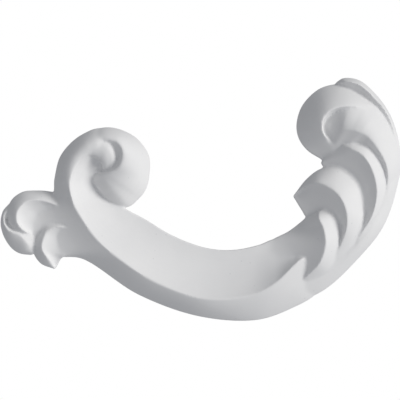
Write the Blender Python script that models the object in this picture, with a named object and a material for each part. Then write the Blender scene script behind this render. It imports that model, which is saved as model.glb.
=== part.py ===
"""A cast swag onlay: a broad scooped sweep shaped like a reclining C, rolled up at its left end into a
ball volute and at its right end into a larger one. Acanthus fingers lie over each other up the right
side, a two-lobed leaf curls off the left side, and a second leaf shows behind the top right. It is
cast as one piece with a flat back, which is glued and pinned to a wall, a door or a mantel.

The front faces -Y and the flat back lies on the plane y = 0, with +Z up. The origin is on the back,
behind the thick lower part of the sweep.

The carving is a free form, so it is set out on squared paper, as a carver does it: every form is a
run of templates laid across it. A template has three points: one rim, the crest and the other rim.
Each point is (squares to the right, squares up, height in hundredths of the relief above the rim)."""

import math

import bmesh
import bpy
import numpy as np

LENGTH = 0.320  # over the longest side, from the left leaf to the right rim
RELIEF = 0.029  # the highest crest, measured from the back
RIM = 0.005  # thickness of the casting where its outline meets the wall

SQUARES = 400  # squares of the drawing along the length
DIVISIONS = 100  # the relief above the rim is divided into this many
ORIGIN_SQUARE = (200, 39)  # the place on the drawing that is the origin

STEPS_ALONG = 4  # facets between two templates
STEPS_ACROSS = 4  # facets between a rim and the crest
GROUND_FACETS = (20, 10)  # round and up a ground dome
SINK = 0.003  # how far the forms run behind the back before it is cut flat
SINK_STEP = 0.0003  # each form sinks a little further, so no two bottoms lie in one plane
CREASE_ANGLE = math.radians(32)

# The scooped sweep, from the top of the left volute to the tip of its own finger: outer rim, ridge
# and inner rim.
SWEEP = [
    ((116, 190, 10), (107, 170, 60), (104, 160, 46)),
    ((99, 192.7, 28), (99, 169, 83), (101, 159, 50)),
    ((85.3, 188, 32), (90.5, 167.5, 85), (98, 157, 46)),
    ((72, 179, 30), (82.5, 162.5, 83), (96, 152, 40)),
    ((60, 164, 26), (75, 153, 82), (96, 145, 28)),
    ((54.5, 143, 20), (70.3, 138, 79), (98, 137, 19)),
    ((52, 125, 16), (73, 120.5, 77), (107, 125, 10)),
    ((30, 99, 13), (80.6, 105.5, 75), (122, 114, 8)),
    ((52, 67, 8), (96.5, 82.8, 71), (146, 101, 4)),
    ((83, 61.9, 0), (116.4, 64.9, 69), (168, 87.5, 4)),
    ((138.1, 26.5, 0), (155.3, 39.5, 65), (202, 74, 4)),
    ((200, 4.6, 0), (204, 23, 62), (231, 71, 4)),
    ((259, 1.7, 0), (250, 26.5, 62), (258, 76, 4)),
    ((297, 15.7, 0), (275, 39, 64), (275, 82, 3)),
    ((313.4, 25.4, -1), (292, 55.5, 62), (287, 78, 2)),
    ((324, 35, -4), (301, 63, 55), (294, 76, 8)),
    ((327, 42, -6), (307, 62.5, 45), (302, 69, 12)),
]

# The rim of the casting up the right side, out of which the fingers grow: inner edge, crest, outer rim.
RIGHT_RIM = [
    ((262, 46, 10), (272, 34, 37), (286, 17, -1)),
    ((288, 58, 10), (302, 45, 37), (316.2, 27, -1)),
    ((305, 62, 10), (318, 50, 37), (332, 37.5, 0)),
    ((330, 80, 10), (346, 68, 38), (356, 61, 2)),
    ((352, 96, 10), (366, 90, 45), (378, 87, 0)),
    ((362, 118, 10), (378, 112, 42), (389, 109, 0)),
    ((370, 140, 10), (386, 134, 42), (396.5, 135, 0)),
    ((372, 160, 10), (387, 155, 36), (400, 156, -4)),
    ((370, 178, 0), (383, 175, 20), (396, 177, -10)),
]

# The acanthus fingers, each from its root to its tip: inner rim, ridge and outer rim.
LOW_FINGER = [
    ((287, 40, 16), (292, 32, 22), (302, 24, -10)),
    ((291, 43, 14), (298, 38, 28), (311, 30, -8)),
    ((288, 51, 22), (305, 45, 49), (319, 35, -6)),
    ((272, 64, 11), (318, 58, 77), (335, 48, 2)),
    ((269, 78.5, 2), (324, 76, 91), (344, 70, 19)),
    ((288.5, 90, 2), (322, 92, 91), (345, 92, 35)),
    ((302, 100.5, 4), (317, 104, 80), (339, 106, 44)),
    ((306, 104.5, 4), (318, 110.5, 46), (332, 113, 30)),
]
HOOKED_FINGER = [
    ((325, 62, 20), (324, 50, 20), (336, 47, -10)),
    ((328, 66, 26), (332, 62, 42), (345, 56, -6)),
    ((335, 80, 36), (339.5, 78, 62), (363, 71, -2)),
    ((333, 93, 30), (344.5, 94, 83), (368, 92, 12)),
    ((312, 99, 8), (344, 111, 96), (368, 112, 21)),
    ((305, 104.5, 4), (337, 125.5, 97), (362, 140, 27)),
    ((302, 109.5, 4), (326.5, 134, 88), (340, 154, 27)),
    ((298.5, 115, 4), (315, 138, 70), (321, 152.5, 12)),
    ((295.5, 120, 4), (303, 134, 36), (306.5, 142.5, 4)),
    ((292.6, 124.6, 4), (293, 125.3, 6), (293.6, 126.3, 4)),
]
HIGH_FINGER = [
    ((350, 72, 20), (349, 66, 20), (358, 69, -10)),
    ((354, 86, 36), (358, 85, 50), (370, 82, -6)),
    ((355, 106, 33), (370.5, 106, 68), (385, 111, -4)),
    ((349, 127, 33), (375, 129, 81), (392, 134, -2)),
    ((337, 144, 21), (370, 151, 90), (389, 158, 12)),
    ((324, 153, 8), (360, 166, 90), (374, 178, 30)),
    ((320.5, 158, 4), (350, 171.5, 78), (357, 182, 34)),
    ((322, 161, 4), (342, 175.5, 54), (346, 182, 30)),
]
# The shoulder, which sweeps over the fingers and rolls up into the eye of the right volute.
SHOULDER = [
    ((381, 128, 25), (384, 126, 32), (394, 128, -8)),
    ((380, 140, 38), (386, 141, 52), (399, 147, 0)),
    ((374, 157, 44), (384, 156, 68), (400.5, 165, 0)),
    ((363, 170, 44), (376, 171, 82), (396.5, 181, 2)),
    ((352, 174, 36), (366, 183.5, 92), (389, 199, 10)),
    ((342, 170, 24), (358, 188, 97), (377, 212, 28)),
    ((335, 168, 16), (350, 190.5, 95), (363, 218, 56)),
    ((330, 169, 26), (340, 190, 83), (348, 217, 70)),
    ((325, 174, 25), (331, 188, 52), (331, 211, 57)),
    ((318, 180, 22), (321, 188, 30), (318, 203, 36)),
]

# The volutes: the edge of the eye's hollow, the crest of the ball and its outline.
RIGHT_BALL = [
    ((374, 200, 30), (378, 206, 36), (386, 206, -8)),
    ((362, 206, 52), (364, 211, 70), (371, 221, 2)),
    ((347, 211, 78), (348, 214, 89), (353, 232.5, 0)),
    ((335, 209.5, 76), (334, 212, 93), (335, 236.5, 0)),
    ((327.5, 204.5, 70), (325, 206.5, 91), (317, 231, 0)),
    ((322.6, 196.5, 57), (320.6, 197, 85), (301.5, 215, 0)),
    ((323.4, 188, 52), (321.8, 188, 72), (296, 197, 0)),
    ((327.8, 181.5, 46), (326, 181, 50), (298, 183, 0)),
    ((334, 174, 36), (331, 173, 36), (307, 170.5, 0)),
    ((337, 165, 22), (333, 163.5, 20), (321, 161.5, 0)),
]
LEFT_BALL = [
    ((84, 167, 60), (86, 172, 66), (78, 182, 4)),
    ((98, 176, 76), (100, 180.5, 83), (100, 192.7, 28)),
    ((111, 176, 76), (115.5, 179, 93), (119.3, 191.6, 16)),
    ((117, 167.5, 76), (122, 172, 97), (137, 182, 0)),
    ((117.5, 160, 74), (122.7, 163, 96), (148.5, 165, 0)),
    ((112.5, 153, 64), (119, 154.5, 92), (149, 147, 0)),
    ((104, 149.5, 50), (111.5, 149.5, 78), (145.5, 132, 0)),
    ((98, 148, 42), (104.5, 146.5, 66), (138, 122, 0)),
    ((95, 145.5, 36), (101, 143.5, 57), (127, 114, 2)),
    ((93, 143, 29), (98.5, 141, 48), (112, 118, 12)),
    ((92, 139.5, 22), (96, 137.5, 36), (99, 130, 20)),
]
LEFT_EYE = [
    ((82, 162, 50), (82, 170, 50), (82, 177, 35)),
    ((91, 165, 75), (95, 174, 86), (98, 181, 74)),
    ((98, 162.5, 75), (105, 171.5, 90), (112, 177.5, 72)),
    ((101, 159.5, 73), (109, 165, 86), (117.5, 167.5, 68)),
    ((102, 155.5, 64), (110, 158.5, 77), (118, 160, 64)),
    ((103, 151.5, 50), (108, 153, 60), (113.5, 153, 54)),
    ((103, 149, 36), (105.5, 149.8, 40), (108.5, 149.5, 38)),
]

# The second leaf, behind the top right: inner rim, ridge and outline.
BACK_LEAF = [
    ((336, 234, 0), (337, 237, 10), (335.5, 238.5, 0)),
    ((345, 230, 8), (344, 239, 34), (343, 242.7, 0)),
    ((358, 224, 14), (358, 235.5, 46), (359, 240.3, 0)),
    ((370, 214, 18), (373, 222.5, 46), (376.5, 225, 0)),
    ((380, 200, 18), (386, 206.5, 36), (389.5, 206, 0)),
    ((388, 184, 10), (393, 188, 22), (396.3, 187, 0)),
    ((393, 169, 0), (396, 171, 6), (399.3, 172, -3)),
]

# The leaf at the left: an upper scoop with the lip that turns over it, and a lower scoop.
UPPER_SCOOP = [
    ((62, 127, 0), (66, 112, 34), (72, 104, 40)),
    ((50, 129.5, 0), (55, 116.5, 42), (62, 104, 30)),
    ((38, 130.5, 0), (40, 121, 45), (50, 103, 22)),
    ((22, 129, 0), (26, 118.5, 48), (43, 101, 16)),
    ((11, 120.5, 6), (18.5, 110.5, 50), (40, 98, 16)),
    ((7.5, 108, 14), (17.5, 101, 50), (38, 95, 14)),
    ((9.5, 96.5, 18), (21, 94, 47), (37, 92, 14)),
    ((16, 89.5, 18), (28, 88, 34), (37, 90, 14)),
]
TURNED_LIP = [
    ((8.5, 117, -4), (11, 114, 8), (15, 110, 4)),
    ((2.5, 109.5, 0), (4.6, 106, 22), (7.6, 104, 6)),
    ((0.3, 98, 0), (4.5, 98, 31), (8, 97.5, 6)),
    ((3.2, 85.5, 0), (10, 90.5, 35), (14.5, 93.5, 10)),
    ((10.8, 73.5, 0), (20, 86, 36), (27, 91, 18)),
    ((20, 67.5, 0), (28, 77, 31), (36, 80, 15)),
    ((31.5, 66, 0), (33, 70, 12), (37, 70, 6)),
]
LOWER_SCOOP = [
    ((82, 99, 40), (84, 92, 42), (88, 80, 42)),
    ((70, 99, 22), (71, 92.5, 42), (76, 80, 32)),
    ((58, 99, 17), (58, 94, 42), (69, 80, 26)),
    ((45, 96, 14), (48, 90, 42), (67, 78, 23)),
    ((36, 84, 10), (43.3, 81, 41), (67, 73, 19)),
    ((32, 72.5, 4), (42.5, 72, 38), (64, 66, 14)),
    ((40, 58, 0), (49.3, 61.3, 26), (60, 61.5, 2)),
    ((54.5, 52, 0), (55, 53, 3), (56, 54, 0)),
]

# How each half of a form swells between its crest and its rims: above 0 is round, below 0 is scooped.
# Where the swell changes along a form, its values stand at even steps from the first template to the last.
SWEEP_ROUNDING = (24, 32, 30, 24, 16, 9, 0, -12, -8, 4, 6, 6, 6, 6, 6, 6, 6)
SWEEP_HOLLOW = (-12, -12, -12, -12, -12, -12, -12, -12, -12, -12, -12, -13, -14, -14, -12, -14, -8)
FORMS = {
    "sweep": (SWEEP, (SWEEP_ROUNDING, SWEEP_HOLLOW)),
    "right_rim": (RIGHT_RIM, (0, 8)),
    "low_finger": (LOW_FINGER, ((-4, -9, -13, -13, -9, -10, -7, -4), 4)),
    "hooked_finger": (HOOKED_FINGER, (-8, 9)),
    "high_finger": (HIGH_FINGER, ((-10, -10, -10, -10, -10, -9, -4, 0), 5)),
    "shoulder": (SHOULDER, ((-8, -8, -6, 0, 3, 4, 3, 0, 0, 0), (4, 6, 8, 14, 20, 22, 13, 14, 8, 4))),
    "right_ball": (RIGHT_BALL, (0, (8, 12, 16, 17, 17, 15, 9, 0, -2))),
    "left_ball": (LEFT_BALL, (0, (10, 16, 20, 22, 22, 22, 26, 22, 12, 4))),
    "left_eye": (LEFT_EYE, (4, 5)),
    "back_leaf": (BACK_LEAF, (0, 3)),
    "upper_scoop": (UPPER_SCOOP, (6, -11)),
    "turned_lip": (TURNED_LIP, (5, 0)),
    "lower_scoop": (LOWER_SCOOP, (3, -9)),
}

# The ground left standing in the hollows between the forms: (square across, square up, radius, height).
GROUNDS = {
    "left_throat_ground": (101, 157, 15, 44),
    "right_hollow_ground": (335, 191, 19, 34),
    "leaf_ground": (24, 98, 19, 12),
    "leaf_notch_ground": (34, 85, 10, 13),
}


def slopes(points, knots):
    """The slope of a smooth curve at each of its points."""
    spans = np.diff(points, axis=0) / np.diff(knots)[:, None, None]
    share = ((knots[1:-1] - knots[:-2]) / (knots[2:] - knots[:-2]))[:, None, None]
    middle = spans[:-1] * (1 - share) + spans[1:] * share
    return np.concatenate([spans[:1], middle, spans[-1:]])


def smooth_run(templates, steps):
    """Templates along a smooth curve through the given ones, with this many steps between two."""
    points = np.array(templates, float)
    gaps = np.linalg.norm(np.diff(points[:, :, :2], axis=0), axis=2).mean(axis=1)
    knots = np.concatenate([[0.0], np.cumsum(np.sqrt(gaps))])
    slope = slopes(points, knots)
    run = []
    for i, width in enumerate(np.diff(knots)):
        for step in range(steps):
            s = step / steps
            run.append(
                (1 + 2 * s) * (1 - s) ** 2 * points[i]
                + s * (1 - s) ** 2 * width * slope[i]
                + s * s * (3 - 2 * s) * points[i + 1]
                - s * s * (1 - s) * width * slope[i + 1]
            )
    return run + [points[-1]]


def swell_at(swell, along):
    """The swell at this share of a form's length."""
    values = np.atleast_1d(swell)
    return np.interp(along * (len(values) - 1), range(len(values)), values)


def section(template, swells, steps):
    """Points across one template, from rim to rim, with each half round or scooped."""
    across = []
    for half, swell in enumerate(swells):
        for step in range(steps):
            s = step / steps
            point = template[half] * (1 - s) + template[half + 1] * s
            point[2] += swell * 4 * s * (1 - s)
            across.append(point)
    return across + [template[-1]]


def place(point):
    """A point of the drawing in metres."""
    right, up, height = point
    square = LENGTH / SQUARES
    return (
        (right - ORIGIN_SQUARE[0]) * square,
        -(RIM + (RELIEF - RIM) * height / DIVISIONS),
        (up - ORIGIN_SQUARE[1]) * square,
    )


def form_mesh(name, templates, swells, sink):
    """A closed loft over the templates, with walls that run down behind the back."""
    mesh = bpy.data.meshes.new(name)
    bm = bmesh.new()
    rings = []
    run = smooth_run(templates, STEPS_ALONG)
    for count, template in enumerate(run):
        along = count / (len(run) - 1)
        here = [swell_at(swell, along) for swell in swells]
        top = [place(point) for point in section(template, here, STEPS_ACROSS)]
        feet = [(top[-1][0], sink, top[-1][2]), (top[0][0], sink, top[0][2])]
        rings.append([bm.verts.new(point) for point in top + feet])
    for ring, after in zip(rings, rings[1:]):
        for i in range(len(ring)):
            j = (i + 1) % len(ring)
            bm.faces.new((ring[i], ring[j], after[j], after[i]))
    bm.faces.new(rings[0][::-1])
    bm.faces.new(rings[-1])
    bmesh.ops.recalc_face_normals(bm, faces=bm.faces)
    bmesh.ops.triangulate(bm, faces=bm.faces)
    bm.to_mesh(mesh)
    bm.free()
    return mesh


def ground_mesh(name, square_across, square_up, radius, height, sink):
    """A low dome that fills the bottom of a hollow."""
    mesh = bpy.data.meshes.new(name)
    bm = bmesh.new()
    facets_round, facets_up = GROUND_FACETS
    bmesh.ops.create_uvsphere(bm, u_segments=facets_round, v_segments=facets_up, radius=1)
    centre = place((square_across, square_up, 0))
    reach = radius * LENGTH / SQUARES
    rise = RIM + (RELIEF - RIM) * height / DIVISIONS
    for vertex in bm.verts:
        vertex.co = (
            centre[0] + vertex.co.x * reach,
            vertex.co.y * rise if vertex.co.y < 0 else vertex.co.y * sink,
            centre[2] + vertex.co.z * reach,
        )
    bm.to_mesh(mesh)
    bm.free()
    return mesh


def add(name, mesh, collection):
    thing = bpy.data.objects.new(name, mesh)
    collection.objects.link(thing)
    return thing


def hide(helper):
    helper.hide_render = True
    helper.display_type = "WIRE"


def primer():
    """The factory primer on the casting: a matte, slightly cool white."""
    material = bpy.data.materials.new("white_primer")
    material.use_nodes = True
    shader = material.node_tree.nodes["Principled BSDF"]
    shader.inputs["Base Color"].default_value = (0.80, 0.80, 0.81, 1)
    shader.inputs["Roughness"].default_value = 0.6
    shader.inputs["Metallic"].default_value = 0
    return material


def back_cutter(collection):
    """A block behind the wall plane that leaves the back flat."""
    mesh = bpy.data.meshes.new("back_cutter")
    bm = bmesh.new()
    bmesh.ops.create_cube(bm, size=2 * LENGTH)
    bm.to_mesh(mesh)
    bm.free()
    cutter = add("back_cutter", mesh, collection)
    cutter.location = (0, LENGTH, 0)
    hide(cutter)
    return cutter


def main():
    for thing in list(bpy.data.objects):
        bpy.data.objects.remove(thing)
    scene = bpy.context.scene
    onlay_parts = bpy.data.collections.new("swag_onlay")
    forms = bpy.data.collections.new("forms")
    cutters = bpy.data.collections.new("cutters")
    for collection in (onlay_parts, forms, cutters):
        scene.collection.children.link(collection)

    for count, (name, (templates, swells)) in enumerate(FORMS.items()):
        mesh = form_mesh(name, templates, swells, SINK + SINK_STEP * count)
        if name == "sweep":
            onlay = add("swag_onlay", mesh, onlay_parts)
        else:
            hide(add(name, mesh, forms))
    for name, ground in GROUNDS.items():
        hide(add(name, ground_mesh(name, *ground, SINK), forms))

    join = onlay.modifiers.new("join_forms", "BOOLEAN")
    join.operation = "UNION"
    join.operand_type = "COLLECTION"
    join.collection = forms
    join.use_self = True
    cut = onlay.modifiers.new("flat_back", "BOOLEAN")
    cut.operation = "DIFFERENCE"
    cut.object = back_cutter(cutters)

    onlay.data.materials.append(primer())
    onlay.data.shade_smooth()
    onlay.data.set_sharp_from_angle(angle=CREASE_ANGLE)


main()
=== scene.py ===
# %% [markdown]
# # A cast swag onlay
#
# The real object is one casting in rigid foam resin, primed white: a scooped sweep like a C lying on its
# back, with a rolled volute at each end, overlapping acanthus fingers up the right side and a small
# curled leaf at the left. Its back is flat, because it is glued and pinned to a wall or a mantel.
#
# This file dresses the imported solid. It builds the same carving again with a finer skin, softens it as
# a mould does, and gives it a primer finish, soft light and the photograph's view.

# %% The frame that everything sits in
import math

import bmesh
import bpy
import numpy as np
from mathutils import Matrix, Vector


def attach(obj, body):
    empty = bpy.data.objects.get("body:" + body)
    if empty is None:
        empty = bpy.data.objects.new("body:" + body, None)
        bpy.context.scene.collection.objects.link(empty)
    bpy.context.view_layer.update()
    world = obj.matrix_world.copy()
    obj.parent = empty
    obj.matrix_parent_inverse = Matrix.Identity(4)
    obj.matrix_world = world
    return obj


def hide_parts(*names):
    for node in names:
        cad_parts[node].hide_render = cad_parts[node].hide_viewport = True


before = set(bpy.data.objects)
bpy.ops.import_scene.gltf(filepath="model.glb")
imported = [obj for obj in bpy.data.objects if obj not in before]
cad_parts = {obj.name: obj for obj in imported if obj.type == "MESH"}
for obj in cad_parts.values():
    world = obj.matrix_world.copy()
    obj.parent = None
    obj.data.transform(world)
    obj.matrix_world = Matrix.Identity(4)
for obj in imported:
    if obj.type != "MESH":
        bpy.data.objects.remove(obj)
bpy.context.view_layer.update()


# %% [markdown]
# ## The squared drawing
#
# A carver enlarges a free form from squared paper: each point is read off in squares and set out again
# at full size. The same is done here. A point is (squares to the right, squares up, height), with the
# height in hundredths of the relief that stands above the rim. It could also be sculpted by hand in
# Sculpt Mode, but then nothing could be measured or changed by a number.

# %% The drawing's measures, in metres
LENGTH = 0.320  # over the longest side
RELIEF = 0.029  # the highest crest, from the back
RIM = 0.005  # thickness where the outline meets the wall
SQUARES = 400  # squares of the drawing along the length
SQUARE = LENGTH / SQUARES
DIVISIONS = 100  # the relief above the rim is divided into this many
ORIGIN_SQUARE = (200, 39)  # the place on the drawing that is the origin


def place(point):
    """A point of the drawing in metres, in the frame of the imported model."""
    right, up, height = point
    return (
        (right - ORIGIN_SQUARE[0]) * SQUARE,
        -(RIM + (RELIEF - RIM) * height / DIVISIONS),
        (up - ORIGIN_SQUARE[1]) * SQUARE,
    )


print("one square is", round(SQUARE * 1000, 3), "mm")

# %% [markdown]
# ## Templates across each form
#
# Every form of the casting is a run of templates laid across it, and each template is one rim, the
# crest and the other rim. That is how a plasterer checks a moulding, and it needs few numbers: a smooth
# curve carries each rim and crest from one template to the next.
#
# The sweep comes first. It starts at the top of the left volute, runs down and round, and ends in the
# tip of the first finger.

# %% The sweep: outer rim, ridge, inner rim
SWEEP = [
    ((116, 190, 10), (107, 170, 60), (104, 160, 46)),
    ((99, 192.7, 28), (99, 169, 83), (101, 159, 50)),
    ((85.3, 188, 32), (90.5, 167.5, 85), (98, 157, 46)),
    ((72, 179, 30), (82.5, 162.5, 83), (96, 152, 40)),
    ((60, 164, 26), (75, 153, 82), (96, 145, 28)),
    ((54.5, 143, 20), (70.3, 138, 79), (98, 137, 19)),
    ((52, 125, 16), (73, 120.5, 77), (107, 125, 10)),
    ((30, 99, 13), (80.6, 105.5, 75), (122, 114, 8)),
    ((52, 67, 8), (96.5, 82.8, 71), (146, 101, 4)),
    ((83, 61.9, 0), (116.4, 64.9, 69), (168, 87.5, 4)),
    ((138.1, 26.5, 0), (155.3, 39.5, 65), (202, 74, 4)),
    ((200, 4.6, 0), (204, 23, 62), (231, 71, 4)),
    ((259, 1.7, 0), (250, 26.5, 62), (258, 76, 4)),
    ((297, 15.7, 0), (275, 39, 64), (275, 82, 3)),
    ((313.4, 25.4, -1), (292, 55.5, 62), (287, 78, 2)),
    ((324, 35, -4), (301, 63, 55), (294, 76, 8)),
    ((327, 42, -6), (307, 62.5, 45), (302, 69, 12)),
]
print("sweep:", len(SWEEP), "templates")

# %% [markdown]
# The rim of the casting carries on up the right side, under the roots of the fingers. Acanthus fingers
# grow out of it one above another. Each is a leaf rolled along its middle: the side that faces the
# mouth is scooped, and the outer side is round.

# %% The right rim and the fingers, each from its root to its tip
RIGHT_RIM = [
    ((262, 46, 10), (272, 34, 37), (286, 17, -1)),
    ((288, 58, 10), (302, 45, 37), (316.2, 27, -1)),
    ((305, 62, 10), (318, 50, 37), (332, 37.5, 0)),
    ((330, 80, 10), (346, 68, 38), (356, 61, 2)),
    ((352, 96, 10), (366, 90, 45), (378, 87, 0)),
    ((362, 118, 10), (378, 112, 42), (389, 109, 0)),
    ((370, 140, 10), (386, 134, 42), (396.5, 135, 0)),
    ((372, 160, 10), (387, 155, 36), (400, 156, -4)),
    ((370, 178, 0), (383, 175, 20), (396, 177, -10)),
]
LOW_FINGER = [
    ((287, 40, 16), (292, 32, 22), (302, 24, -10)),
    ((291, 43, 14), (298, 38, 28), (311, 30, -8)),
    ((288, 51, 22), (305, 45, 49), (319, 35, -6)),
    ((272, 64, 11), (318, 58, 77), (335, 48, 2)),
    ((269, 78.5, 2), (324, 76, 91), (344, 70, 19)),
    ((288.5, 90, 2), (322, 92, 91), (345, 92, 35)),
    ((302, 100.5, 4), (317, 104, 80), (339, 106, 44)),
    ((306, 104.5, 4), (318, 110.5, 46), (332, 113, 30)),
]
HOOKED_FINGER = [
    ((325, 62, 20), (324, 50, 20), (336, 47, -10)),
    ((328, 66, 26), (332, 62, 42), (345, 56, -6)),
    ((335, 80, 36), (339.5, 78, 62), (363, 71, -2)),
    ((333, 93, 30), (344.5, 94, 83), (368, 92, 12)),
    ((312, 99, 8), (344, 111, 96), (368, 112, 21)),
    ((305, 104.5, 4), (337, 125.5, 97), (362, 140, 27)),
    ((302, 109.5, 4), (326.5, 134, 88), (340, 154, 27)),
    ((298.5, 115, 4), (315, 138, 70), (321, 152.5, 12)),
    ((295.5, 120, 4), (303, 134, 36), (306.5, 142.5, 4)),
    ((292.6, 124.6, 4), (293, 125.3, 6), (293.6, 126.3, 4)),
]
HIGH_FINGER = [
    ((350, 72, 20), (349, 66, 20), (358, 69, -10)),
    ((354, 86, 36), (358, 85, 50), (370, 82, -6)),
    ((355, 106, 33), (370.5, 106, 68), (385, 111, -4)),
    ((349, 127, 33), (375, 129, 81), (392, 134, -2)),
    ((337, 144, 21), (370, 151, 90), (389, 158, 12)),
    ((324, 153, 8), (360, 166, 90), (374, 178, 30)),
    ((320.5, 158, 4), (350, 171.5, 78), (357, 182, 34)),
    ((322, 161, 4), (342, 175.5, 54), (346, 182, 30)),
]
SHOULDER = [
    ((381, 128, 25), (384, 126, 32), (394, 128, -8)),
    ((380, 140, 38), (386, 141, 52), (399, 147, 0)),
    ((374, 157, 44), (384, 156, 68), (400.5, 165, 0)),
    ((363, 170, 44), (376, 171, 82), (396.5, 181, 2)),
    ((352, 174, 36), (366, 183.5, 92), (389, 199, 10)),
    ((342, 170, 24), (358, 188, 97), (377, 212, 28)),
    ((335, 168, 16), (350, 190.5, 95), (363, 218, 56)),
    ((330, 169, 26), (340, 190, 83), (348, 217, 70)),
    ((325, 174, 25), (331, 188, 52), (331, 211, 57)),
    ((318, 180, 22), (321, 188, 30), (318, 203, 36)),
]
print("fingers:", len(LOW_FINGER) + len(HOOKED_FINGER) + len(HIGH_FINGER), "templates")

# %% [markdown]
# A volute ends in a ball. A plain sphere would miss how the ball opens into the hollow of its eye, so
# each ball is a run of templates that turn about the eye, from the hollow's edge over the crest to the
# outline. A small lobe curls inside the left eye, and a second leaf shows behind the right ball.

# %% The volutes: the edge of the eye's hollow, the crest and the outline
RIGHT_BALL = [
    ((374, 200, 30), (378, 206, 36), (386, 206, -8)),
    ((362, 206, 52), (364, 211, 70), (371, 221, 2)),
    ((347, 211, 78), (348, 214, 89), (353, 232.5, 0)),
    ((335, 209.5, 76), (334, 212, 93), (335, 236.5, 0)),
    ((327.5, 204.5, 70), (325, 206.5, 91), (317, 231, 0)),
    ((322.6, 196.5, 57), (320.6, 197, 85), (301.5, 215, 0)),
    ((323.4, 188, 52), (321.8, 188, 72), (296, 197, 0)),
    ((327.8, 181.5, 46), (326, 181, 50), (298, 183, 0)),
    ((334, 174, 36), (331, 173, 36), (307, 170.5, 0)),
    ((337, 165, 22), (333, 163.5, 20), (321, 161.5, 0)),
]
LEFT_BALL = [
    ((84, 167, 60), (86, 172, 66), (78, 182, 4)),
    ((98, 176, 76), (100, 180.5, 83), (100, 192.7, 28)),
    ((111, 176, 76), (115.5, 179, 93), (119.3, 191.6, 16)),
    ((117, 167.5, 76), (122, 172, 97), (137, 182, 0)),
    ((117.5, 160, 74), (122.7, 163, 96), (148.5, 165, 0)),
    ((112.5, 153, 64), (119, 154.5, 92), (149, 147, 0)),
    ((104, 149.5, 50), (111.5, 149.5, 78), (145.5, 132, 0)),
    ((98, 148, 42), (104.5, 146.5, 66), (138, 122, 0)),
    ((95, 145.5, 36), (101, 143.5, 57), (127, 114, 2)),
    ((93, 143, 29), (98.5, 141, 48), (112, 118, 12)),
    ((92, 139.5, 22), (96, 137.5, 36), (99, 130, 20)),
]
LEFT_EYE = [
    ((82, 162, 50), (82, 170, 50), (82, 177, 35)),
    ((91, 165, 75), (95, 174, 86), (98, 181, 74)),
    ((98, 162.5, 75), (105, 171.5, 90), (112, 177.5, 72)),
    ((101, 159.5, 73), (109, 165, 86), (117.5, 167.5, 68)),
    ((102, 155.5, 64), (110, 158.5, 77), (118, 160, 64)),
    ((103, 151.5, 50), (108, 153, 60), (113.5, 153, 54)),
    ((103, 149, 36), (105.5, 149.8, 40), (108.5, 149.5, 38)),
]
BACK_LEAF = [
    ((336, 234, 0), (337, 237, 10), (335.5, 238.5, 0)),
    ((345, 230, 8), (344, 239, 34), (343, 242.7, 0)),
    ((358, 224, 14), (358, 235.5, 46), (359, 240.3, 0)),
    ((370, 214, 18), (373, 222.5, 46), (376.5, 225, 0)),
    ((380, 200, 18), (386, 206.5, 36), (389.5, 206, 0)),
    ((388, 184, 10), (393, 188, 22), (396.3, 187, 0)),
    ((393, 169, 0), (396, 171, 6), (399.3, 172, -3)),
]
print("volutes:", len(RIGHT_BALL) + len(LEFT_BALL) + len(LEFT_EYE), "templates")

# %% [markdown]
# The leaf at the left has two scoops, like the bowls of two spoons, and a thin lip that turns over the
# edge of the upper one. The bowls run into the bevel of the sweep without an edge.

# %% The left leaf
UPPER_SCOOP = [
    ((62, 127, 0), (66, 112, 34), (72, 104, 40)),
    ((50, 129.5, 0), (55, 116.5, 42), (62, 104, 30)),
    ((38, 130.5, 0), (40, 121, 45), (50, 103, 22)),
    ((22, 129, 0), (26, 118.5, 48), (43, 101, 16)),
    ((11, 120.5, 6), (18.5, 110.5, 50), (40, 98, 16)),
    ((7.5, 108, 14), (17.5, 101, 50), (38, 95, 14)),
    ((9.5, 96.5, 18), (21, 94, 47), (37, 92, 14)),
    ((16, 89.5, 18), (28, 88, 34), (37, 90, 14)),
]
TURNED_LIP = [
    ((8.5, 117, -4), (11, 114, 8), (15, 110, 4)),
    ((2.5, 109.5, 0), (4.6, 106, 22), (7.6, 104, 6)),
    ((0.3, 98, 0), (4.5, 98, 31), (8, 97.5, 6)),
    ((3.2, 85.5, 0), (10, 90.5, 35), (14.5, 93.5, 10)),
    ((10.8, 73.5, 0), (20, 86, 36), (27, 91, 18)),
    ((20, 67.5, 0), (28, 77, 31), (36, 80, 15)),
    ((31.5, 66, 0), (33, 70, 12), (37, 70, 6)),
]
LOWER_SCOOP = [
    ((82, 99, 40), (84, 92, 42), (88, 80, 42)),
    ((70, 99, 22), (71, 92.5, 42), (76, 80, 32)),
    ((58, 99, 17), (58, 94, 42), (69, 80, 26)),
    ((45, 96, 14), (48, 90, 42), (67, 78, 23)),
    ((36, 84, 10), (43.3, 81, 41), (67, 73, 19)),
    ((32, 72.5, 4), (42.5, 72, 38), (64, 66, 14)),
    ((40, 58, 0), (49.3, 61.3, 26), (60, 61.5, 2)),
    ((54.5, 52, 0), (55, 53, 3), (56, 54, 0)),
]
print("left leaf:", len(UPPER_SCOOP) + len(TURNED_LIP) + len(LOWER_SCOOP), "templates")

# %% [markdown]
# Between two rims a template isn't straight. Each half of it swells: above 0 it is round, as on a ball,
# and below 0 it is scooped, as in the hollow face of the sweep. Where a form changes from one to the
# other, its swells are listed from its first template to its last.
#
# The forms leave gaps between them at the bottom of four hollows. A low dome lies under each of these
# as its ground, so that no gap goes through to the wall.

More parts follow.
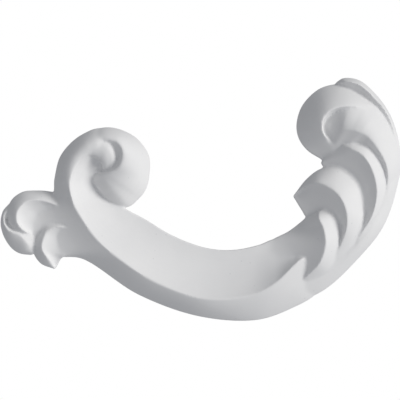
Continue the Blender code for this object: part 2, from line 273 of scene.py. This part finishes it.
# %% How each form swells, and the ground left in the hollows
SWEEP_ROUNDING = (24, 32, 30, 24, 16, 9, 0, -12, -8, 4, 6, 6, 6, 6, 6, 6, 6)
SWEEP_HOLLOW = (-12, -12, -12, -12, -12, -12, -12, -12, -12, -12, -12, -13, -14, -14, -12, -14, -8)
FORMS = {
    "sweep": (SWEEP, (SWEEP_ROUNDING, SWEEP_HOLLOW)),
    "right_rim": (RIGHT_RIM, (0, 8)),
    "low_finger": (LOW_FINGER, ((-4, -9, -13, -13, -9, -10, -7, -4), 4)),
    "hooked_finger": (HOOKED_FINGER, (-8, 9)),
    "high_finger": (HIGH_FINGER, ((-10, -10, -10, -10, -10, -9, -4, 0), 5)),
    "shoulder": (SHOULDER, ((-8, -8, -6, 0, 3, 4, 3, 0, 0, 0), (4, 6, 8, 14, 20, 22, 13, 14, 8, 4))),
    "right_ball": (RIGHT_BALL, (0, (8, 12, 16, 17, 17, 15, 9, 0, -2))),
    "left_ball": (LEFT_BALL, (0, (10, 16, 20, 22, 22, 22, 26, 22, 12, 4))),
    "left_eye": (LEFT_EYE, (4, 5)),
    "back_leaf": (BACK_LEAF, (0, 3)),
    "upper_scoop": (UPPER_SCOOP, (6, -11)),
    "turned_lip": (TURNED_LIP, (5, 0)),
    "lower_scoop": (LOWER_SCOOP, (3, -9)),
}
# square across, square up, radius, height
GROUNDS = {
    "left_throat_ground": (101, 157, 15, 44),
    "right_hollow_ground": (335, 191, 19, 34),
    "leaf_ground": (24, 98, 19, 12),
    "leaf_notch_ground": (34, 85, 10, 13),
}
print(len(FORMS), "forms and", len(GROUNDS), "grounds")

# %% [markdown]
# ## From templates to a skin
#
# A smooth curve through the templates is a cubic whose slope at each template is taken from its two
# neighbours. A loft could also be drawn with Blender's own curves, but a run of templates with three
# rails and a swell of their own is shorter to write out, and its facets come out even.


# %% A smooth run through the templates
def smooth_run(templates, steps):
    """Templates along a smooth curve through the given ones, with this many steps between two."""
    points = np.array(templates, float)
    gaps = np.linalg.norm(np.diff(points[:, :, :2], axis=0), axis=2).mean(axis=1)
    knots = np.concatenate([[0.0], np.cumsum(np.sqrt(gaps))])
    spans = np.diff(points, axis=0) / np.diff(knots)[:, None, None]
    share = ((knots[1:-1] - knots[:-2]) / (knots[2:] - knots[:-2]))[:, None, None]
    slope = np.concatenate([spans[:1], spans[:-1] * (1 - share) + spans[1:] * share, spans[-1:]])
    run = []
    for i, width in enumerate(np.diff(knots)):
        for s in np.arange(steps) / steps:
            # the weights of a cubic: of its two ends, and of the slopes with which it leaves and arrives
            start, end = (1 + 2 * s) * (1 - s) ** 2, s * s * (3 - 2 * s)
            leave, arrive = s * (1 - s) ** 2 * width, s * s * (1 - s) * width
            run.append(start * points[i] + leave * slope[i] + end * points[i + 1] - arrive * slope[i + 1])
    return run + [points[-1]]


def section(template, swells, steps):
    """Points across one template, from rim to rim, with each half round or scooped."""
    across = []
    for half, swell in enumerate(swells):
        for s in np.arange(steps) / steps:
            point = template[half] * (1 - s) + template[half + 1] * s
            point[2] += swell * 4 * s * (1 - s)  # a parabola, with the full swell halfway
            across.append(point)
    return across + [template[-1]]


print("sweep at two steps a gap:", len(smooth_run(SWEEP, 2)), "templates")

# %% [markdown]
# Each form becomes a closed body: the carved top, walls down past the wall plane, and two ends. All the
# bodies go into one mesh and are left to overlap, because the next step fuses them.

# %% Closed lofts and ground domes in one mesh
STEPS_ALONG = 12  # facets between two templates
STEPS_ACROSS = 10  # facets between a rim and the crest
SINK = 0.004  # how far the bodies run behind the wall plane before they are cut there
DOME_FACETS = (40, 20)  # round and up a ground dome


def add_loft(bm, templates, swells):
    """A closed body over the templates."""
    run = smooth_run(templates, STEPS_ALONG)
    rings = []
    for along, template in zip(np.linspace(0, 1, len(run)), run):
        swells_here = []
        for swell in swells:
            values = np.atleast_1d(swell)
            swells_here.append(np.interp(along * (len(values) - 1), range(len(values)), values))
        top = [place(point) for point in section(template, swells_here, STEPS_ACROSS)]
        feet = [(top[-1][0], SINK, top[-1][2]), (top[0][0], SINK, top[0][2])]
        rings.append([bm.verts.new(point) for point in top + feet])
    for ring, after in zip(rings, rings[1:]):
        for i in range(len(ring)):
            j = (i + 1) % len(ring)
            bm.faces.new((ring[i], ring[j], after[j], after[i]))
    bm.faces.new(rings[0][::-1])
    bm.faces.new(rings[-1])


def add_dome(bm, square_across, square_up, radius, height):
    """A low dome that fills the bottom of a hollow."""
    centre = Vector(place((square_across, square_up, 0)))
    rise = RIM + (RELIEF - RIM) * height / DIVISIONS
    reach = radius * SQUARE
    facets_round, facets_up = DOME_FACETS
    made = bmesh.ops.create_uvsphere(bm, u_segments=facets_round, v_segments=facets_up, radius=1)
    for vertex in made["verts"]:
        depth = rise if vertex.co.y < 0 else SINK
        vertex.co = (centre.x + vertex.co.x * reach, vertex.co.y * depth, centre.z + vertex.co.z * reach)


raw = bmesh.new()
for templates, swells in FORMS.values():
    add_loft(raw, templates, swells)
for ground in GROUNDS.values():
    add_dome(raw, *ground)
bmesh.ops.recalc_face_normals(raw, faces=raw.faces)
casting_mesh = bpy.data.meshes.new("swag_casting")
raw.to_mesh(casting_mesh)
raw.free()
casting = bpy.data.objects.new("swag_casting", casting_mesh)
bpy.context.scene.collection.objects.link(casting)
print("overlapping bodies:", len(casting_mesh.polygons), "faces")

# %% [markdown]
# ## One casting out of many bodies
#
# A Boolean union would join the bodies with hard, knife-cut seams. A mould has none: the modeller's
# clay was one lump. A voxel remesh fuses the bodies into one skin of even squares, which can then be
# softened like clay.


# %% Fuse the bodies with a voxel remesh
VOXEL = 0.00083  # keeps the skin under 200,000 triangles


def apply_modifiers(piece):
    """Replaces a piece's mesh by what its modifiers make of it."""
    graph = bpy.context.evaluated_depsgraph_get()
    made = bpy.data.meshes.new_from_object(piece.evaluated_get(graph))
    piece.modifiers.clear()
    piece.data = made


fuse = casting.modifiers.new("fuse", "REMESH")
fuse.mode = "VOXEL"
fuse.voxel_size = VOXEL
apply_modifiers(casting)
print("fused skin:", len(casting.data.polygons), "squares")

# %% [markdown]
# ## Softening
#
# Primed castings have no sharp corners: the rubber mould and the coat of primer round every edge by
# half a millimetre or so. A Smooth modifier does that. Two more, each limited by a vertex group, blend
# the places where one form runs into another. The first is for the root of a finger or the floor of a
# scoop. The second has many more passes, for the long soft valley where the low finger rises out of
# the sweep.

# %% Where the forms run into one another: square across, square up, radius, strength
BLENDS = {
    "cove_into_low_finger": (292, 84, 26, 1.0),
    "low_finger_root": (309, 30, 12, 0.8),
    "rim_into_fingers": (334, 60, 16, 0.6),
    "rim_middle": (358, 92, 16, 0.6),
    "sweep_into_eye": (96, 179, 13, 1.0),
    "right_ball_start": (366, 206, 18, 1.0),
    "upper_scoop_floor": (42, 99, 18, 1.0),
    "lower_scoop_floor": (68, 76, 16, 1.0),
    "left_ball_low": (124, 150, 22, 0.8),
    "left_ball_foot": (109, 134, 17, 0.8),
    "ball_over_sweep": (98, 184, 11, 0.8),
    "right_ball_foot": (332, 172, 12, 1.0),
    "rim_start": (312, 33, 15, 1.0),
    "left_eye_hollow": (95, 165, 9, 0.8),
    "cove_start": (272, 70, 14, 1.0),
}
VALLEY = {
    "valley_mouth_side": (270, 74, 17, 1.0),
    "valley_middle": (281, 70, 15, 1.0),
}
print(len(BLENDS), "blends and", len(VALLEY), "in the valley")

# %% [markdown]
# A vertex group holds one weight for each point. Here a weight is full in the middle of a place and
# falls smoothly to nothing at its radius. It also falls away towards the rim, so that the outline stays
# where it is. The same could be painted by hand in Weight Paint mode.

# %% How strongly each point is blended
BLEND_DEPTH = 0.006  # the weight is full at this height above the rim, and nothing at the rim


def points_of(mesh):
    """The vertices of a mesh as an array."""
    points = np.empty(len(mesh.vertices) * 3, np.float32)
    mesh.vertices.foreach_get("co", points)
    return points.reshape(-1, 3)


def blend_weights(points, places):
    """How strongly each point is blended at these places, from 0 to 1."""
    weights = np.zeros(len(points))
    for across, up, radius, strength in places.values():
        x, _, z = place((across, up, 0))
        near = 1 - np.hypot(points[:, 0] - x, points[:, 2] - z) / (radius * SQUARE)
        near = np.clip(near, 0, 1)
        weights = np.maximum(weights, strength * near * near * (3 - 2 * near))
    above_rim = np.clip((-points[:, 1] - RIM) / BLEND_DEPTH, 0, 1)
    return weights * above_rim


print("points in the blends:", int((blend_weights(points_of(casting.data), BLENDS) > 0).sum()))

# %% [markdown]
# Both blends go on before the rounding of the edges, so that the edges are still rounded everywhere
# and no blend shows where it stops.

# %% Blend the joins and round the edges
SMOOTH_FACTOR = 0.5
BLEND_PASSES = 45
VALLEY_PASSES = 260
EDGE_PASSES = 2
LEVELS = 20  # a group takes its weights in this many steps


def add_smooth(name, passes):
    """A Smooth modifier on the casting."""
    smooth = casting.modifiers.new(name, "SMOOTH")
    smooth.factor = SMOOTH_FACTOR
    smooth.iterations = passes
    return smooth


def add_blend(name, places, passes):
    """A Smooth modifier that acts only at these places."""
    group = casting.vertex_groups.new(name=name)
    weights = blend_weights(points_of(casting.data), places)
    for level in range(1, LEVELS + 1):
        chosen = np.flatnonzero(np.round(weights * LEVELS) == level)
        if len(chosen):
            group.add(chosen.tolist(), level / LEVELS, "REPLACE")
    add_smooth(name, passes).vertex_group = name


add_blend("blend", BLENDS, BLEND_PASSES)
add_blend("valley", VALLEY, VALLEY_PASSES)
add_smooth("edges", EDGE_PASSES)
apply_modifiers(casting)
print("softened skin:", len(casting.data.vertices), "points")

# %% [markdown]
# ## The flat back
#
# The casting leaves its open mould with a back struck off level. The skin is cut along the wall plane,
# and one flat face closes it.

# %% Strike off the back
INTO_WALL = (0, 1, 0)
BACK_CREASE = math.radians(50)  # an edge that bends more, as around the back, is shaded sharp
back = bmesh.new()
back.from_mesh(casting.data)
everything = back.verts[:] + back.edges[:] + back.faces[:]
wall = {"plane_co": (0, 0, 0), "plane_no": INTO_WALL}
cut = bmesh.ops.bisect_plane(back, geom=everything, clear_outer=True, **wall)
rim_edges = [item for item in cut["geom_cut"] if isinstance(item, bmesh.types.BMEdge)]
bmesh.ops.triangle_fill(back, edges=rim_edges, use_beauty=True, normal=INTO_WALL)
bmesh.ops.recalc_face_normals(back, faces=back.faces)
back.to_mesh(casting.data)
back.free()
casting.data.shade_smooth()
casting.data.set_sharp_from_angle(angle=BACK_CREASE)
triangles = sum(len(face.vertices) - 2 for face in casting.data.polygons)
print("casting:", triangles, "triangles")

# %% [markdown]
# ## Crests and hollows for the finish
#
# The hollows are painted a little darker, as painted shade, and hands rub the crests smoother. Both need a
# mask. The
# Pointiness of the Geometry node could give one, but it reaches only as far as the next vertex. Here the
# skin's depth is compared with its own average over a few millimetres, and kept as an attribute.

# %% A crest mask as an attribute
AVERAGE_PASSES = 30
CREST_DEPTH = 0.0006  # a point this far above its surroundings counts as a full crest


def crest_mask(mesh):
    """0 in hollows, 0.5 on plain surface, 1 on crests."""
    depth = -points_of(mesh)[:, 1].astype(float)
    ends = np.empty(len(mesh.edges) * 2, np.int32)
    mesh.edges.foreach_get("vertices", ends)
    first, second = ends.reshape(-1, 2).T
    count = np.bincount(first, minlength=len(depth)) + np.bincount(second, minlength=len(depth))
    mean = depth.copy()
    for _ in range(AVERAGE_PASSES):
        total = np.bincount(first, mean[second], len(depth)) + np.bincount(second, mean[first], len(depth))
        mean = total / np.maximum(count, 1)
    return np.clip(0.5 + (depth - mean) / CREST_DEPTH / 2, 0, 1)


crest = casting.data.attributes.new("crest", "FLOAT", "POINT")
mask = crest_mask(casting.data)
crest.data.foreach_set("value", mask.astype(np.float32))
print("crest mask from", round(float(mask.min()), 2), "to", round(float(mask.max()), 2))

# %% [markdown]
# ## Shader maths as plain sums
#
# A material's nodes read best as an expression, such as `tone * (1 - hollow)`. This class wraps one
# socket: each operator adds the Math node that does it, and `node` adds any other kind.


# %% A wire of the node tree
class Wire:
    """One socket of a node tree, so that masks can be added and multiplied like numbers."""

    def __init__(self, tree, socket=None):
        self.tree, self.socket = tree, socket

    def node(self, kind, settings=None, sockets=None, output=0):
        """Adds a node: first its settings, then its sockets' values or links. Returns one output's wire."""
        made = self.tree.nodes.new(kind)
        for name, value in (settings or {}).items():
            setattr(made, name, value)
        for name, value in (sockets or {}).items():
            if isinstance(value, Wire):
                self.tree.links.new(value.socket, made.inputs[name])
            else:
                made.inputs[name].default_value = value
        return Wire(self.tree, made.outputs[output])

    def math(self, operation, *values):
        """Adds a Math node on these values or wires."""
        return self.node("ShaderNodeMath", {"operation": operation}, dict(enumerate(values)))

    def __add__(self, other):
        return self.math("ADD", self, other)

    def __sub__(self, other):
        return self.math("SUBTRACT", self, other)

    def __rsub__(self, other):
        return self.math("SUBTRACT", other, self)

    def __mul__(self, other):
        return self.math("MULTIPLY", self, other)

    __radd__ = __add__
    __rmul__ = __mul__

    def between(self, low, high):
        """0 below low, 1 above high, and smooth between."""
        settings = {"interpolation_type": "SMOOTHSTEP"}
        return self.node("ShaderNodeMapRange", settings, {0: self, 1: low, 2: high})

    def mix(self, colour_at_0, colour_at_1):
        """One colour where this mask is 0 and the other where it is 1."""
        settings = {"data_type": "RGBA"}
        return self.node("ShaderNodeMix", settings, {0: self, 6: colour_at_0, 7: colour_at_1}, output=2)


print("a mask takes + - * with numbers and with other masks")

# %% [markdown]
# ## The primer
#
# The factory primer is a matte, slightly cool white. Close to, it isn't one flat tone: it clouds a
# little from the spray gun, is rubbed a shade smoother on the crests, and has the orange peel and the few
# pinholes of a casting. The hollows and the pinholes are also painted darker, as painted shade. All of
# that is far below what the photograph resolves, so each step is kept small.

# %% The primer's colours and measures
PRIMER = (0.808, 0.808, 0.810, 1)
PRIMER_CLOUD = (0.784, 0.785, 0.790, 1)
# painted shade: the grey laid into the hollows
HOLLOW_SHADE_COLOUR = (0.745, 0.748, 0.756, 1)
# painted shade inside the pinholes
PINHOLE_SHADE_COLOUR = (0.60, 0.61, 0.63, 1)
CLOUD_SCALE, CLOUD_DETAIL = 26, 4.0  # a scale is how many fit in a metre
PEEL_SCALE, PEEL_DETAIL = 1100, 3.0
PINHOLE_SCALE = 120
# where each mask starts and where it is full
CLOUD_BAND = (0.35, 0.7)
HOLLOW_BAND = (0.15, 0.5)  # of the crest mask, and full below it
RUBBED_BAND = (0.55, 0.95)  # of the crest mask
PINHOLE_BAND = (0.045, 0.07)  # of the spacing of the pinholes, and full below it
# how much painted shade the hollows get
HOLLOW_SHADE_STRENGTH = 0.6
# how much painted shade the pinholes get
PINHOLE_SHADE_STRENGTH = 0.5
print("clouds of", round(1000 / CLOUD_SCALE), "mm, orange peel of", round(1000 / PEEL_SCALE, 1), "mm")

# %% [markdown]
# The gloss and the bump follow the same masks. A matte primer scatters nearly all light, so the
# roughness only moves a little around its middle, and the bump is a tenth of a millimetre.

# %% The primer's material
ROUGHNESS = 0.62
HOLLOW_ROUGHER = 0.08
RUBBED_SMOOTHER = 0.10
PEEL_ROUGHER = 0.06
SPECULAR = 0.2  # less than bare resin, because the primer is full of chalk
PEEL_HEIGHT = 0.35  # the two heights are in shares of a pinhole's depth
CLOUD_HEIGHT = 0.15
BUMP_STRENGTH = 0.35
BUMP_DISTANCE = 0.00012


def make_primer():
    """The matte white primer of the casting."""
    material = bpy.data.materials.new("white_primer")
    material.use_nodes = True
    tree = material.node_tree
    shader = tree.nodes["Principled BSDF"]
    wire = Wire(tree)
    at = {"Vector": wire.node("ShaderNodeTexCoord", output="Object")}
    crest = wire.node("ShaderNodeAttribute", {"attribute_name": "crest"}, output="Fac")
    cloud = wire.node("ShaderNodeTexNoise", None, {**at, "Scale": CLOUD_SCALE, "Detail": CLOUD_DETAIL})
    peel = wire.node("ShaderNodeTexNoise", None, {**at, "Scale": PEEL_SCALE, "Detail": PEEL_DETAIL})
    bubble = wire.node("ShaderNodeTexVoronoi", {"feature": "F1"}, {**at, "Scale": PINHOLE_SCALE})

    hollow = 1 - crest.between(*HOLLOW_BAND)
    rubbed = crest.between(*RUBBED_BAND)
    pinhole = 1 - bubble.between(*PINHOLE_BAND)

    tone = cloud.between(*CLOUD_BAND).mix(PRIMER, PRIMER_CLOUD)
    # painted shade: the hollows are darkened where the crest mask is low
    tone = (hollow * HOLLOW_SHADE_STRENGTH).mix(tone, HOLLOW_SHADE_COLOUR)
    # painted shade: each pinhole is darkened as well as dented by the bump
    tone = (pinhole * PINHOLE_SHADE_STRENGTH).mix(tone, PINHOLE_SHADE_COLOUR)
    relief = peel * PEEL_HEIGHT + cloud * CLOUD_HEIGHT - pinhole
    roughness = ROUGHNESS + HOLLOW_ROUGHER * hollow - RUBBED_SMOOTHER * rubbed + PEEL_ROUGHER * peel
    size = {"Strength": BUMP_STRENGTH, "Distance": BUMP_DISTANCE}
    bump = wire.node("ShaderNodeBump", None, {**size, "Height": relief})

    tree.links.new(tone.socket, shader.inputs["Base Color"])
    tree.links.new(roughness.socket, shader.inputs["Roughness"])
    tree.links.new(bump.socket, shader.inputs["Normal"])
    shader.inputs["Specular IOR Level"].default_value = SPECULAR
    return material


primer = make_primer()
casting.data.materials.append(primer)
print("primer:", len(primer.node_tree.nodes), "nodes")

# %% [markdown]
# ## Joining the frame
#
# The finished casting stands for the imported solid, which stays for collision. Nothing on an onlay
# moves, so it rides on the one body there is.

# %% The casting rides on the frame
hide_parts("swag_onlay")
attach(casting, "root")
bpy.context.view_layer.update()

# %% [markdown]
# ## The floor
#
# The photograph is a product shot on plain white. A floor of pale paper lies well below, out of the
# picture. It doesn't light the casting, because the surround already stands for that light.

# %% The floor
FLOOR_DROP = 3.0  # low enough that the casting can also be seen from below
FLOOR_SIZE = 20.0
FLOOR_GLOW = 0.35  # stands in for the studio's own light on the floor
PAPER = (0.86, 0.86, 0.86, 1)
PAPER_ROUGHNESS = 0.9
WHITE = (1, 1, 1, 1)
floor_mesh = bpy.data.meshes.new("floor")
floor_form = bmesh.new()
bmesh.ops.create_grid(floor_form, x_segments=1, y_segments=1, size=FLOOR_SIZE)
floor_form.to_mesh(floor_mesh)
floor_form.free()
floor = bpy.data.objects.new("floor", floor_mesh)
floor.location = (0, 0, -FLOOR_DROP)
floor.visible_diffuse = False
bpy.context.scene.collection.objects.link(floor)
paper = bpy.data.materials.new("studio_paper")
paper.use_nodes = True
paper_shader = paper.node_tree.nodes["Principled BSDF"]
paper_shader.inputs["Base Color"].default_value = PAPER
paper_shader.inputs["Roughness"].default_value = PAPER_ROUGHNESS
paper_shader.inputs["Emission Color"].default_value = WHITE
paper_shader.inputs["Emission Strength"].default_value = FLOOR_GLOW
floor_mesh.materials.append(paper)
print("floor at", -FLOOR_DROP, "m")

# %% [markdown]
# ## The light
#
# White on white shows only by its shading. One broad lamp in front, well to the right and a little
# above, models the carving. An area lamp would fall off along the sweep. This is a sun with a wide
# angle, so its light is the same all over and its shadows are still soft.

# %% The lamp
LAMP_FROM = Vector((0.79, -0.56, 0.24))  # the direction to the lamp
LAMP_POWER = 2.1
LAMP_SPREAD = math.radians(25)
LAMP_COLOUR = (1.0, 0.985, 0.96)
lamp_data = bpy.data.lights.new("soft_lamp", "SUN")
lamp_data.energy = LAMP_POWER
lamp_data.angle = LAMP_SPREAD
lamp_data.color = LAMP_COLOUR
lamp = bpy.data.objects.new("soft_lamp", lamp_data)
lamp.rotation_euler = LAMP_FROM.to_track_quat("Z", "Y").to_euler()
bpy.context.scene.collection.objects.link(lamp)
print("lamp", LAMP_POWER, "over", round(math.degrees(LAMP_SPREAD)), "degrees")

# %% [markdown]
# The surround fills the shadows, a little cooler than the lamp. It is brighter below, for the light
# that a pale floor throws back up. Large white cards around the casting would do the same, but they
# would show in some views. The camera itself sees plain paper white instead of the surround.

# %% The surround
SURROUND_ABOVE = 0.345
SURROUND_BELOW = 0.445
SURROUND_BAND = (-0.25, 0.25)  # the two meet around the horizon
FILL_COLOUR = (0.965, 0.985, 1.03, 1)
world = bpy.data.worlds.new("white_surround")
bpy.context.scene.world = world
world.use_nodes = True
surround = Wire(world.node_tree)


def background(colour, strength):
    """An even light from all sides."""
    return surround.node("ShaderNodeBackground", None, {"Color": colour, "Strength": strength})


def blend_light(share, light_at_0, light_at_1):
    """One light where the share is 0 and the other where it is 1."""
    return surround.node("ShaderNodeMixShader", None, {0: share, 1: light_at_0, 2: light_at_1})


direction = surround.node("ShaderNodeTexCoord", output="Generated")
above = surround.node("ShaderNodeSeparateXYZ", None, {0: direction}, output="Z").between(*SURROUND_BAND)
fill = blend_light(above, background(FILL_COLOUR, SURROUND_BELOW), background(FILL_COLOUR, SURROUND_ABOVE))
seen = surround.node("ShaderNodeLightPath", output="Is Camera Ray")
both = blend_light(seen, fill, background(WHITE, 1.0))
world.node_tree.links.new(both.socket, world.node_tree.nodes["World Output"].inputs["Surface"])
bpy.context.scene.view_settings.view_transform = "Standard"
print("surround", SURROUND_BELOW, "below and", SURROUND_ABOVE, "above")

# %% [markdown]
# ## The camera
#
# It looks straight at the front. A long lens from far away keeps the carving's proportions, where a
# short one would swell the high crests and show their sides.

# %% The camera
CENTRE_SQUARE = (199.5, 121)  # the square in the middle of the photograph
LENS = 300
SENSOR = 36
NEAREST, FARTHEST = 0.1, 50
camera_data = bpy.data.cameras.new("camera")
camera_data.lens = LENS
camera_data.sensor_width = SENSOR
camera_data.clip_start, camera_data.clip_end = NEAREST, FARTHEST
camera = bpy.data.objects.new("camera", camera_data)
aim = place((*CENTRE_SQUARE, 0))
distance = SQUARES * SQUARE / 2 / (SENSOR / 2 / LENS)  # the photograph is as wide as the drawing
camera.location = (aim[0], -distance, aim[2])
camera.rotation_euler = (math.radians(90), 0, 0)
bpy.context.scene.collection.objects.link(camera)
bpy.context.scene.camera = camera
print("camera at", [round(v, 3) for v in camera.location])

# %% [markdown]
# ## The end
#

# %% Finish
print("the scene is dressed")
